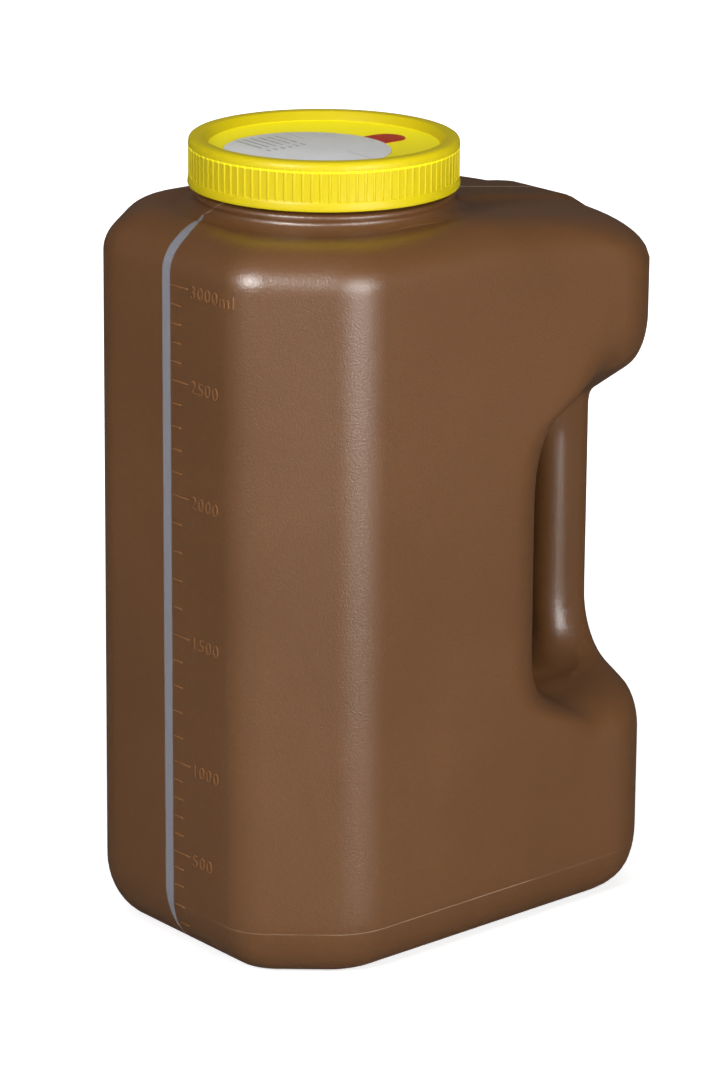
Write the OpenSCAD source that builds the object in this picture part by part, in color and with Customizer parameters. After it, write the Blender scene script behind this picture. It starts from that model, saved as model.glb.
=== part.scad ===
// Three litre collection container: blow-moulded bottle with a grip at the back, screw cap with a
// sampling well. Millimetres. +Z is up, the graduated face looks along -Y, the grip along +Y, and the
// origin lies under the middle of the base. Plane X = 0 is the parting plane of the mould.

/* [Bottle body] */
// Width of the body, side to side
body_w = 117; // [110:1:124]
// Length of the body, graduated face to back
body_l = 158; // [152:1:164]
// Height of the flat top above the base
top_z = 230.5; // [228:0.5:234]
// Thickness of the blown wall
wall = 1.5; // [1.2:0.1:2]
// Draft of each side wall over the whole height
draft = 1.6; // [0:0.1:2]
// Width taken off each front corner by its flat
flat_w = 24.7; // [20:0.1:28]
// Length taken off each front corner by its flat
flat_l = 28.5; // [22:0.1:32]
// Fall of the top from the neck to the back edge
top_fall = 8; // [4:0.5:10]
// Depth of the hollow under the base
base_hollow = 2; // [1:0.5:3]

/* [Grip] */
// Back face of the main body behind the finger gap
gap_front_y = 27.3; // [24:0.1:30]
// Front face of the grip
grip_front_y = 58.8; // [57:0.1:61]
// Half width of the grip
grip_half = 23.2; // [21:0.1:25]
// Height of the lower block's edge
lower_block_z = 64; // [60:0.5:68]
// Height of the upper block's lower edge
upper_block_z = 180.2; // [176:0.1:184]

/* [Neck and cap] */
// Distance of the neck's axis in front of the middle
neck_front = 17.9; // [15:0.1:20]
// Radius of the neck's bore
neck_bore_r = 35.2; // [34:0.1:36]
// Radius of the neck's outer wall
neck_r = 37.8; // [37.4:0.1:38]
// Radius of the bead under the cap
bead_r = 40.4; // [39.5:0.1:41]
// Radius of the cap over its bands
cap_r = 41.6; // [41.3:0.1:43]
// Underside of the cap above the base
cap_z = 236.9; // [236.6:0.1:238]
// Height of the cap
cap_h = 14.9; // [14.6:0.1:16]
// Number of grip ribs round the cap
rib_count = 96; // [60:12:96]
// Depth of the recess in the cap's top
recess_h = 3; // [2.5:0.1:3.5]

/* [Sampling well] */
// Sideways place of the well
well_x = 3; // [0:0.5:4]
// Distance of the well in front of the cap's axis
well_front = 9.1; // [6:0.1:10]
// Radius of the well's bore
well_r = 9.2; // [8.8:0.1:9.6]
// Depth of the well below the floor of the recess
well_depth = 38; // [34:1:42]
// Radius of the covering label
label_r = 25.4; // [22:0.1:25.5]

/* [Hidden] */

half_w = body_w/2;
half_l = body_l/2;

// roundings of the plan, given as tangent lengths at the sharp corners
front_round = 7.9;
side_round = 9.1;
gap_round = 16;
web_round = 5;
back_round = 23.9;
grip_round = 8.3;
corner_steps = 4;

// roundings of the section
base_in = 15.2;
base_up = 21;
base_back_in = 6.6;
base_back_up = 8;
top_in = 15.3;
top_up = 11.2;
top_back_in = 12;
top_back_up = 13;
top_corner_extra = 16;

// outline of the blocks beside the grip: its two corners and their tangent lengths
lower_root_z = 75.5;
lower_root_round = 17;
lower_edge_round = 9;
upper_root_z = 159.8;
upper_root_round = 4;
upper_edge_round = 12;
gap_floor_round = 12.5;
gap_roof_round = 28;
gap_floor_z = 68.6;
gap_roof_z = 170;
block_low_z = 52;
block_high_z = 194;
block_front_y = 35;
block_back_y = 45;

// window between the main body and the grip
window_floor_z = 80;
window_roof_z = 152;
window_relief = 0.25;
window_round = 10;
window_lip = 3;
base_land = 6;

neck_y = -neck_front;
neck_top_z = 246.3;
neck_root_z = 226;
cap_top_z = cap_z + cap_h;
recess_z = cap_top_z - recess_h;
cap_floor_z = recess_z - 1.5;
seal_h = cap_floor_z - neck_top_z;
seal_r = 38.6;
skirt_in_r = 40;
recess_r = 35.2;
band_low = 3.6;
band_high = 3.4;
band_step = 0.5;
rib_w = 1;
well_y = neck_y - well_front;
well_wall = 1.3;
well_floor_z = recess_z - well_depth;
hub_h = 4;
needle_r = 0.45;
needle_top_z = 232.5;
spigot_z = 199;
sleeve_r = 2.1;
sleeve_h = 19.5;
label_h = 0.25;
tab_h = 0.2;
tab_w = 9.5;
tab_end_y = 7.8;

// ---------- numbers ----------
function lerp(a, b, t) = a + (b - a)*t;
function clamp(x, low, high) = min(max(x, low), high);
function unit(v) = v/norm(v);
// how far a quarter ellipse stands in from its tangent, t of the way along it
function round_in(r, t) = r*(1 - sqrt(1 - pow(clamp(t, 0, 1), 2)));

// points of the arc that rounds corner q of the path p, q, s with tangent length t
function corner(p, q, s, t, steps) =
    let (u = unit(p - q), v = unit(s - q), a = q + u*t, b = q + v*t, w = sqrt((1 - u*v)/2))
    [for (i = [0:steps]) let (k = i/steps, ka = pow(1 - k, 2), kq = 2*k*(1 - k)*w, kb = k*k)
        (ka*a + kq*q + kb*b)/(ka + kq + kb)];

// triangles between rings of n points each
function strips(rings, n) = [for (j = [0:rings - 2], i = [0:n - 1])
    let (a = j*n + i, b = j*n + (i + 1)%n) each [[b + n, b, a], [a + n, b + n, a]]];
// triangles that close a ring of n points numbered from k
function fan(n, k, far) = [for (i = [1:n - 2]) far ? [k, k + i + 1, k + i] : [k, k + i, k + i + 1]];

// ---------- outline of the body ----------
// half width of the blocks and the grip at each height, as [height, half width]
grip_profile = concat(
    [[0, half_w]],
    corner([0, half_w], [lower_block_z, half_w], [lower_root_z, grip_half], lower_edge_round, 6),
    corner([lower_block_z, half_w], [lower_root_z, grip_half], [120, grip_half], lower_root_round, 8),
    corner([120, grip_half], [upper_root_z, grip_half], [upper_block_z, half_w], upper_root_round, 3),
    corner([upper_root_z, grip_half], [upper_block_z, half_w], [240, half_w], upper_edge_round, 6),
    [[240, half_w]]);

// where the side wall ends beside the finger gap, as [height, y], with the run-out onto the blocks
gap_profile = concat(
    [[block_low_z, block_front_y]],
    [for (i = [0:6]) let (t = 0.85*(1 - i/6)) [gap_floor_z + gap_floor_round*(1 - t),
        gap_front_y + round_in(gap_floor_round, t)]],
    [for (i = [0:6]) let (t = 0.7*i/6) [gap_roof_z - gap_roof_round*(1 - t),
        gap_front_y + round_in(gap_roof_round, t)]],
    [[block_high_z, block_front_y], [top_z - top_back_up, block_front_y], [top_z, 12]]);
// where the outline reaches the width of the blocks or the grip, as [height, extra y]
gap_run = [[block_low_z + 12, block_back_y - block_front_y], [gap_floor_z + 8, 0],
    [gap_roof_z - 10, 0], [block_high_z - 16, block_back_y - block_front_y],
    [top_z - top_back_up, block_back_y - block_front_y], [top_z, 4]];

// how far the walls stand in at height z: sides and front, then the back
function side_in(z) = round_in(base_in, 1 - z/base_up) + round_in(top_in, (z - top_z + top_up)/top_up);
function back_in(z) = round_in(base_back_in, 1 - z/base_back_up)
    + round_in(top_back_in, (z - top_z + top_back_up)/top_back_up);
// narrowest value of a height table within a wall's thickness of height z
function nearest(z, inset, table) = min(lookup(z - inset, table), lookup(z + inset, table)) - inset;

// half of the plan outline at height z, from the front middle to the back middle; inset is the wall
function half_outline(z, inset, steps) =
    let (e = side_in(z) + inset,
        side = half_w + draft*(0.5 - z/top_z),
        h = norm([flat_l, flat_w]), n = [flat_l, -flat_w]/h,
        reach = n*[side - flat_w, -half_l] - e,
        y0 = e - half_l,
        x1 = (reach - n[1]*y0)/n[0],
        y2 = (reach - n[0]*(side - e))/n[1],
        soft = clamp(1 - 0.6*e/back_round, 0.15, 1),
        half = nearest(z, inset, grip_profile) + side - half_w,
        x3 = side - e,
        x4 = min(half, x3),
        y3 = nearest(z, inset, gap_profile),
        y4 = y3 + lookup(z, gap_run) + 0.02,
        y5 = half_l - back_in(z) - inset,
        edge = norm([x3 - x4, y4 - y3]),
        t3 = min(gap_round, 0.6*edge),
        t4 = min(web_round, 0.35*edge),
        width = clamp((half + inset - grip_half)/(half_w - grip_half), 0, 1),
        t5 = min(x4*0.95, lerp(grip_round, back_round, width) - inset*0.6
            - round_in(base_back_in, 1 - z/base_back_up)*0.6
            + top_corner_extra*clamp((z - top_z + top_back_up)/top_back_up, 0, 1)))
    concat(corner([0, y0], [x1, y0], [x3, y2], front_round*soft, steps),
        corner([x1, y0], [x3, y2], [x3, y3], side_round*soft, steps),
        corner([x3, y2], [x3, y3], [x4, y4], t3, steps),
        corner([x3, y3], [x4, y4], [x4, y5], t4, 2),
        corner([x4, y4], [x4, y5], [0, y5], t5, 2*steps - 1));
// the whole outline: the half and its mirror image
function outline(half) = let (m = len(half)) concat(half, [for (i = [m - 1:-1:0]) [-half[i][0], half[i][1]]]);

// the top falls away behind the neck, and the walls below it follow
function top_drop(y, z) = top_fall*pow(clamp((z - 190)/(top_z - 190), 0, 1), 2)*clamp((y - 5)/(half_l - 12), 0, 1);

// heights of the rings, closer together where the outline changes
function ring_heights(fine, ends) = concat(
    [for (i = [0:ends]) base_up*(1 - cos(90*i/ends))],
    [40, 54],
    [for (i = [1:2*fine]) lerp(56, 82, i/(2*fine))],
    [88, 96, 120, 142],
    [for (i = [0:fine]) lerp(148, 159, i/fine)],
    [for (i = [1:2*fine]) lerp(160, 184, i/(2*fine))],
    [189, 195, 206, 213],
    [for (i = [0:ends + 1]) top_z - top_up + top_up*sin(90*i/(ends + 1))]);

// a closed body lofted through the outlines at the given heights
module body_loft(inset, heights, steps, low, high) {
    rings = [for (z = heights) [for (q = outline(half_outline(z, inset, steps)))
        [q[0], q[1], clamp(z, low, high) - top_drop(q[1], z)]]];
    n = len(rings[0]);
    last = (len(heights) - 1)*n;
    ends = [for (i = [0:n/2 - 2]) let (a = i, b = i + 1, c = n - 2 - i, d = n - 1 - i)
        each [[b, c, a], [c, d, a], [last + c, last + b, last + a], [last + d, last + c, last + a]]];
    polyhedron(points = [for (ring = rings) each ring], faces = concat(strips(len(rings), n), ends));
}

// window through the body in front of the grip; its mouths are widened by the grip's rounded edges and
// follow the grip's half width up and down. A station holds how far it is inside the mouth and its spread
module finger_window(inset) {
    mouth = grip_round - inset;
    ease = [for (i = [0:5]) let (t = i/5) [mouth*(1 - t), 1 - sqrt(1 - t*t)]];
    stations = concat([[-1, -12, 1]], [for (i = [5:-1:0]) [-1, ease[i][0], ease[i][1]]],
        [for (i = [0:5]) [1, ease[i][0], ease[i][1]]], [[1, -12, 1]]);
    section = function (f)
        let (y1 = grip_front_y + inset + mouth*f, z0 = window_floor_z - inset - (window_lip - inset)*f,
            z1 = window_roof_z + inset + mouth*f, y0 = gap_front_y)
        concat(corner([y0, z0], [y1, z0], [y1, z1], window_round, 4), [[y1, 96], [y1, 104]],
            corner([y1, z0], [y1, z1], [y0, z1], window_round, 4),
            [for (i = [0:9]) let (z = lerp(z1, z0, i/9)) [lookup(z, gap_profile) - window_relief - inset, z]]);
    rings = [for (s = stations) [for (q = section(s[2]))
        [s[0]*(nearest(q[1], inset, grip_profile) + window_relief - s[1]), q[0], q[1]]]];
    n = len(rings[0]);
    polyhedron(points = [for (ring = rings) each ring],
        faces = concat(strips(len(rings), n), fan(n, 0, false), fan(n, (len(rings) - 1)*n, true)));
}

// low ridge along the middle of the top, behind the neck
module top_ridge() {
    stations = [[neck_y + neck_r, 229.7], [38.6, 228], [54.4, 225.9], [67.8, 224], [72.5, 223], [75.8, 221.4],
        [77.4, 218.5]];
    rings = [for (s = stations) let (y = s[0], z = s[1])
        [[-17, y, z - 6], [-17, y, z - 2.1], [-13, y, z - 0.3], [-11.5, y, z], [11.5, y, z], [13, y, z - 0.3],
            [17, y, z - 2.1], [17, y, z - 6]]];
    n = len(rings[0]);
    polyhedron(points = [for (ring = rings) each ring],
        faces = concat(strips(len(rings), n), fan(n, 0, false), fan(n, (len(rings) - 1)*n, true)));
}

// neck with the bead under the cap, flaring on to the shoulder
module neck_outer() translate([0, neck_y, 0]) rotate_extrude($fn = 72) polygon([[0, neck_root_z],
    [45.5, neck_root_z], [45.5, 229.2], [43, 230.4], [40.8, 231], [39.4, 232], [bead_r - 0.5, 232.5],
    [bead_r, 233], [bead_r, 235.2], [bead_r - 0.5, 235.8], [neck_r, 236.3], [neck_r, neck_top_z - 0.6],
    [neck_r - 0.6, neck_top_z], [0, neck_top_z]]);

// hollow of the base inside its standing rim
module base_dish() translate([0, 0, -1]) linear_extrude(height = 1 + base_hollow)
    polygon(outline(half_outline(0, base_land, corner_steps)));

module body_outer() {
    difference() {
        body_loft(0, ring_heights(5, 6), corner_steps, 0, top_z);
        finger_window(0);
        base_dish();
    }
}

module body_inner() {
    difference() {
        body_loft(wall, ring_heights(3, 4), 2, base_hollow + wall, top_z - wall);
        finger_window(wall);
    }
}

// one blow moulding: body, grip, ridge and neck round one hollow
module bottle() color([0.36, 0.24, 0.16]) difference() {
    union() {
        body_outer();
        top_ridge();
        neck_outer();
    }
    body_inner();
    translate([0, neck_y, neck_root_z - 8]) cylinder(h = 30, r = neck_bore_r, $fn = 72);
}

// liner between the mouth of the neck and the cap
module seal_ring() color([0.9, 0.9, 0.86]) translate([0, neck_y, neck_top_z]) difference() {
    cylinder(h = seal_h, r = seal_r, $fn = 96);
    translate([0, 0, -1]) cylinder(h = seal_h + 2, r = neck_bore_r, $fn = 96);
}

// band of the skirt that carries the grip ribs
module rib_band() {
    pitch = 360/rib_count;
    low = cap_r - band_step;
    high = cap_r - 0.1;
    foot = rib_w*0.62;
    profile = [for (i = [0:rib_count - 1]) each [[low, i*pitch - 57.3*foot/low], [high, i*pitch - 57.3*rib_w*0.38/high],
        [high, i*pitch + 57.3*rib_w*0.38/high], [low, i*pitch + 57.3*foot/low]]];
    translate([0, 0, cap_z + band_low]) linear_extrude(height = cap_h - band_low - band_high) difference() {
        polygon([for (q = profile) q[0]*[cos(q[1]), sin(q[1])]]);
        circle(r = cap_r - 1.1, $fn = 96);
    }
}

// one moulding: lid, ribbed skirt and the sampling well with its needle holder
module cap() color([0.93, 0.82, 0.1]) difference() {
    union() {
        translate([0, neck_y, 0]) rotate_extrude($fn = 96) polygon([[0, recess_z], [recess_r, recess_z],
            [recess_r + 1.5, cap_top_z - 0.4], [recess_r + 2.2, cap_top_z], [cap_r - 1.6, cap_top_z],
            [cap_r - 0.6, cap_top_z - 0.4], [cap_r - 0.2, cap_top_z - 1.3], [cap_r - 0.2, cap_top_z - band_high],
            [cap_r - band_step, cap_top_z - band_high - 0.3], [cap_r - band_step, cap_z + band_low + 0.3],
            [cap_r, cap_z + band_low], [cap_r, cap_z + 0.5], [cap_r - 0.5, cap_z], [skirt_in_r, cap_z],
            [skirt_in_r, cap_floor_z], [0, cap_floor_z]]);
        translate([0, neck_y, 0]) rib_band();
        translate([well_x, well_y, 0]) {
            translate([0, 0, well_floor_z - well_wall])
                cylinder(h = recess_z - well_floor_z + well_wall - 0.5, r = well_r + well_wall, $fn = 64);
            translate([0, 0, spigot_z]) cylinder(h = well_floor_z - well_wall - spigot_z, r1 = 1.8, r2 = 3.4, $fn = 32);
        }
    }
    translate([well_x, well_y, 0]) {
        difference() {
            translate([0, 0, well_floor_z]) cylinder(h = well_depth + 1, r = well_r, $fn = 64);
            translate([0, 0, well_floor_z - 1]) cylinder(h = hub_h + 1, r = 2.6, $fn = 32);
        }
        translate([0, 0, spigot_z - 1]) cylinder(h = 30, r = needle_r, $fn = 24);
    }
}

// steel needle through the floor of the well
module cannula() color([0.75, 0.76, 0.78]) translate([well_x, well_y, spigot_z])
    difference() {
        union() {
            cylinder(h = needle_top_z - spigot_z - 2.4, r = needle_r, $fn = 24);
            translate([0, 0, needle_top_z - spigot_z - 2.4]) cylinder(h = 2.4, r1 = needle_r, r2 = 0.15, $fn = 24);
        }
        translate([0, 0, -1]) cylinder(h = needle_top_z - spigot_z - 2, r = needle_r*0.5, $fn = 24);
    }

// rubber sleeve that closes the needle until a tube is pushed on
module needle_sleeve() color([0.82, 0.8, 0.74]) translate([well_x, well_y, well_floor_z + hub_h])
    difference() {
        union() {
            cylinder(h = sleeve_h - 1.2, r = sleeve_r, $fn = 32);
            translate([0, 0, sleeve_h - 1.2]) cylinder(h = 1.2, r1 = sleeve_r, r2 = sleeve_r - 0.7, $fn = 32);
        }
        translate([0, 0, -1]) cylinder(h = needle_top_z - well_floor_z - hub_h + 1.1, r = needle_r + 0.15, $fn = 24);
    }

// sealing label over the well
module label() color([0.86, 0.86, 0.87]) translate([well_x, well_y, recess_z])
    cylinder(h = label_h, r = label_r, $fn = 96);

// pull tab: it comes out from under the label's edge and points to the back
module pull_tab() color([0.7, 0.16, 0.14]) translate([well_x, 0, recess_z]) linear_extrude(height = tab_h)
    difference() {
        union() {
            translate([1.3 - tab_w/2, well_y]) square([tab_w, tab_end_y - well_y - tab_w/2]);
            translate([1.3, tab_end_y - tab_w/2]) circle(r = tab_w/2, $fn = 32);
        }
        translate([0, well_y]) circle(r = label_r + 0.05, $fn = 96);
    }

bottle();
seal_ring();
cap();
cannula();
needle_sleeve();
label();
pull_tab();
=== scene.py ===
import math

import bmesh
import bpy
from mathutils import Matrix, Vector


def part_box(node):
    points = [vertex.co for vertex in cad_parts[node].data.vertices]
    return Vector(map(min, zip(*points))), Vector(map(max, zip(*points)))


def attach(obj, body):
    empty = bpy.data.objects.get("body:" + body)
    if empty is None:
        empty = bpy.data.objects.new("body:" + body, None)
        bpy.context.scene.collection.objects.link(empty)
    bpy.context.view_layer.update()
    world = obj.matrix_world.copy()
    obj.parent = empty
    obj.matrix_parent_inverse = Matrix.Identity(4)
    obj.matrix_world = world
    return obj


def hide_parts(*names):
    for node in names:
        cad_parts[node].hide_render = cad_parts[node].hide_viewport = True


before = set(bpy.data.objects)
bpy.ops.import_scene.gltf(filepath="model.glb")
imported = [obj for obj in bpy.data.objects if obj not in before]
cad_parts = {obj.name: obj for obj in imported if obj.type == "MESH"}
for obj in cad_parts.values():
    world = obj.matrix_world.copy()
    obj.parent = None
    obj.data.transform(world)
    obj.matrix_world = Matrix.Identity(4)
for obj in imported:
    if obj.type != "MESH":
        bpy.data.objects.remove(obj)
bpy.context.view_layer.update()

bl_info = {
    "name": "Collection bottle",
    "version": (1, 0, 0),
    "blender": (4, 5, 0),
    "location": "View3D > Sidebar > Bottle",
    "description": "Dresses a blown collection bottle with its ribbed cap, label, scale and studio",
    "category": "Object",
}

MM = 0.001
MERGE = 1e-6

# sizes of the blown body in millimetres
BODY_W = 117.0
BODY_L = 158.0
TOP_Z = 230.5
DRAFT = 1.6
FLAT_W = 24.7
FLAT_L = 28.5
TOP_FALL = 8.0
GAP_Y = 27.3
GRIP_Y = 58.8
GRIP_HALF = 23.2
LOWER_BLOCK_Z = 64.0
UPPER_BLOCK_Z = 180.2
FRONT_ROUND = 7.9
SIDE_ROUND = 9.1
GAP_ROUND = 16.0
WEB_ROUND = 5.0
BACK_ROUND = 23.9
GRIP_ROUND = 8.3
BASE_IN, BASE_UP = 15.2, 21.0
BASE_BACK_IN, BASE_BACK_UP = 6.6, 8.0
TOP_IN, TOP_UP = 15.3, 12.7
TOP_BACK_IN, TOP_BACK_UP = 12.5, 17.0
TOP_CORNER_EXTRA = 16.0
TOP_FALL_FROM = 190.0
RIDGE_REACH = 5.0
RIDGE_FROM_Y = 20.0
PROUD = 0.3  # how far the front face stands back so that the scale's marks stay inside the body's length
BASE_LAND, BASE_HOLLOW = 6.0, 2.0

# neck, cap and well in millimetres
NECK_Y = -17.9
NECK_R = 37.8
NECK_TOP = 246.3
CAP_R = 41.6
CAP_Z = 236.9
CAP_H = 14.9
CAP_TOP = CAP_Z + CAP_H
RECESS_R = 35.2
RECESS_Z = CAP_TOP - 3.0
LID_UNDER_Z = RECESS_Z - 1.5
SKIRT_IN_R = 40.0
BAND_LOW, BAND_HIGH = 2.8, 2.9
WELL_X, WELL_Y = 3.0, -27.0
WELL_R = 9.2
WELL_WALL = 1.3
WELL_FLOOR_Z = RECESS_Z - 38.0
HUB_Z = WELL_FLOOR_Z + 4
SPIGOT_Z = 199.0
NEEDLE_BORE_R = 0.46
LABEL_R = 25.4
# the scene's tab is wider than the solid's, sits aside from it and reaches further under the label
TAB_WIDER, TAB_ASIDE, TAB_FURTHER, TAB_TUCK = 0.8, 0.7, 0.9, 2.0

# heights of the scale's marks on the front face: millilitres to millimetres
MARKS = {100: 9.8, 200: 16.5, 300: 23.5, 400: 29.2, 500: 34.5, 1000: 64.3, 1500: 105.4, 2000: 149.9,
         2500: 185.7, 3000: 214.8}

# camera: degrees, metres and millimetres of lens
VIEW_AZIMUTH, VIEW_PITCH, VIEW_ROLL = 49.415, 17.472, 0.5
VIEW_HEIGHT, VIEW_ASIDE, VIEW_DISTANCE = 0.11915, -0.00209, 1.2659
VIEW_LENS = 133.37

# lamps: metres
LAMP_DISTANCE, LAMP_AIM_Z = 1.5, 0.13


# ---------- the body's shape ----------
def lerp(a, b, t):
    """The value t of the way from a to b."""
    return a + (b - a) * t


def clamp(x, low, high):
    """x kept between low and high."""
    return min(max(x, low), high)


def smooth(t):
    """An even ease from 0 to 1."""
    t = clamp(t, 0, 1)
    return t * t * (3 - 2 * t)


def round_in(reach, t):
    """How far a quarter ellipse stands in from its tangent, t of the way along it."""
    return reach * (1 - math.sqrt(1 - clamp(t, 0, 1) ** 2))


def lookup(x, table):
    """The value at x of a table of (place, value), with straight runs between its rows."""
    if x <= table[0][0]:
        return table[0][1]
    for (x0, v0), (x1, v1) in zip(table, table[1:]):
        if x <= x1:
            return lerp(v0, v1, (x - x0) / (x1 - x0)) if x1 > x0 else v1
    return table[-1][1]


def corner(p, q, s, t, steps):
    """Points of the arc that rounds corner q of the path p, q, s with tangent length t."""
    p, q, s = Vector(p), Vector(q), Vector(s)
    u, v = (p - q).normalized(), (s - q).normalized()
    a, b = q + u * t, q + v * t
    w = math.sqrt(max((1 - u.dot(v)) / 2, 0))
    points = []
    for i in range(steps + 1):
        k = i / steps
        ka, kq, kb = (1 - k) ** 2, 2 * k * (1 - k) * w, k * k
        points.append((a * ka + q * kq + b * kb) / (ka + kq + kb))
    return points


def between(a, b, count):
    """Points inside the straight from a to b."""
    return [Vector(a).lerp(Vector(b), i / (count + 1)) for i in range(1, count + 1)]


HALF_W, HALF_L = BODY_W / 2, BODY_L / 2
FRONT_POINTS = 34  # points of half_outline from the front's middle to the side wall
GRIP_PROFILE = (
    [(0, HALF_W)]
    + corner((0, HALF_W), (LOWER_BLOCK_Z, HALF_W), (75.5, GRIP_HALF), 9, 8)
    + corner((LOWER_BLOCK_Z, HALF_W), (75.5, GRIP_HALF), (120, GRIP_HALF), 17, 12)
    + corner((120, GRIP_HALF), (159.8, GRIP_HALF), (UPPER_BLOCK_Z, HALF_W), 4, 4)
    + corner((159.8, GRIP_HALF), (UPPER_BLOCK_Z, HALF_W), (240, HALF_W), 12, 8)
    + [(240, HALF_W)]
)
GAP_PROFILE = [(52, 40), (64, 40), (67, 38), (70, 35.3), (73.7, 32.2), (77, 30.1), (81, 28.5), (86, 27.6), (92, GAP_Y),
               (142, GAP_Y), (150, 28.1), (155, 29.3), (160, 31.4), (165, 34.4), (170, 38.3), (174, 40.8), (178, 42),
               (182, 42.2), (194, 40), (TOP_Z - TOP_BACK_UP, 35), (TOP_Z, 12)]
GAP_RUN = [(64, 10), (76.6, 0), (160, 0), (178, 10), (TOP_Z - TOP_BACK_UP, 10), (TOP_Z, 4)]

FLARE = [(45.2, 230.3), (44.2, 230.4), (43.0, 230.6), (41.8, 231.0), (40.8, 231.6), (40.0, 232.5)]
NECK = [(39.8, 233.1), (39.8, 233.4), (40.0, 233.8), (40.35, 234.2), (40.4, 234.7), (40.35, 235.2), (40.0, 235.6),
        (39.2, 235.9), (38.2, 236.2), (NECK_R, 237.0), (NECK_R, 245.4), (NECK_R - 0.2, 246.0), (NECK_R - 0.7, NECK_TOP)]
RIDGE = [(RIDGE_FROM_Y, 229.6), (38.6, 228), (54.4, 225.9), (67.8, 224), (72.5, 223), (75.8, 221.4), (77.2, 219.4)]


def half_outline(z, inset=0.0):
    """Half of the plan outline at height z, from the front middle to the back middle."""
    e = inset + round_in(BASE_IN, 1 - z / BASE_UP) + round_in(TOP_IN, (z - TOP_Z + TOP_UP) / TOP_UP)
    back = round_in(BASE_BACK_IN, 1 - z / BASE_BACK_UP) + round_in(TOP_BACK_IN, (z - TOP_Z + TOP_BACK_UP) / TOP_BACK_UP)
    side = HALF_W + DRAFT * (0.5 - z / TOP_Z)
    slope = math.hypot(FLAT_L, FLAT_W)
    nx, ny = FLAT_L / slope, -FLAT_W / slope
    reach = nx * (side - FLAT_W) - ny * HALF_L - e
    y0 = e + PROUD - HALF_L
    x1 = (reach - ny * y0) / nx
    y2 = (reach - nx * (side - e)) / ny
    soft = clamp(1 - 0.6 * e / BACK_ROUND, 0.15, 1)
    half = lookup(z, GRIP_PROFILE) + side - HALF_W - inset
    x3 = side - e
    x4 = min(half, x3)
    y3 = lookup(z, GAP_PROFILE) - inset
    y4 = y3 + lookup(z, GAP_RUN) + 0.02
    y5 = HALF_L - back - inset
    edge = math.hypot(x3 - x4, y4 - y3)
    t3, t4 = min(GAP_ROUND, 0.6 * edge), min(WEB_ROUND, 0.35 * edge)
    width = clamp((half + inset - GRIP_HALF) / (HALF_W - GRIP_HALF), 0, 1)
    t5 = min(x4 * 0.95, lerp(GRIP_ROUND, BACK_ROUND, width) - inset * 0.6
             - round_in(BASE_BACK_IN, 1 - z / BASE_BACK_UP) * 0.6
             + TOP_CORNER_EXTRA * clamp((z - TOP_Z + TOP_BACK_UP) / TOP_BACK_UP, 0, 1),
             y5 - y4 - t4 - 0.2)
    arcs = [
        corner((0, y0), (x1, y0), (x3, y2), FRONT_ROUND * soft, 10),
        corner((x1, y0), (x3, y2), (x3, y3), SIDE_ROUND * soft, 10),
        corner((x3, y2), (x3, y3), (x4, y4), t3, 8),
        corner((x3, y3), (x4, y4), (x4, y5), t4, 4),
        corner((x4, y4), (x4, y5), (0, y5), t5, 24),
    ]
    path = between((0, y0), arcs[0][0], 6)
    for arc, following, count in zip(arcs, arcs[1:] + [None], [3, 14, 2, 5, 3]):
        path += arc
        end = following[0] if following else Vector((0, y5))
        path += between(arc[-1], end, count)
    return path


def top_drop(y, z):
    """The top falls away behind the neck, and the walls below it follow."""
    risen = clamp((z - TOP_FALL_FROM) / (TOP_Z - TOP_FALL_FROM), 0, 1)
    return TOP_FALL * risen ** 2 * clamp((y - 5) / (HALF_L - 12), 0, 1)


def ring(z, inset=0.0, lift=0.0):
    """One closed ring of the skin at height z, moved in by inset and up by lift."""
    half = half_outline(z, inset)
    flat = half + [Vector((-q.x, q.y)) for q in reversed(half)]
    near_top = z > TOP_Z - RIDGE_REACH
    return [Vector((q.x, q.y, max(z + lift - top_drop(q.y, z), ridge_z(q.x, q.y) if near_top else 0))) for q in flat]


def ridge_z(x, y):
    """Height of the low ridge along the middle of the top, behind the neck."""
    if y < RIDGE_FROM_Y:
        return 0
    return lookup(y, RIDGE) - 2.6 * smooth((abs(x) - 12.5) / 6.5) - 3 * clamp((abs(x) - 19) / 2, 0, 1)


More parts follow.
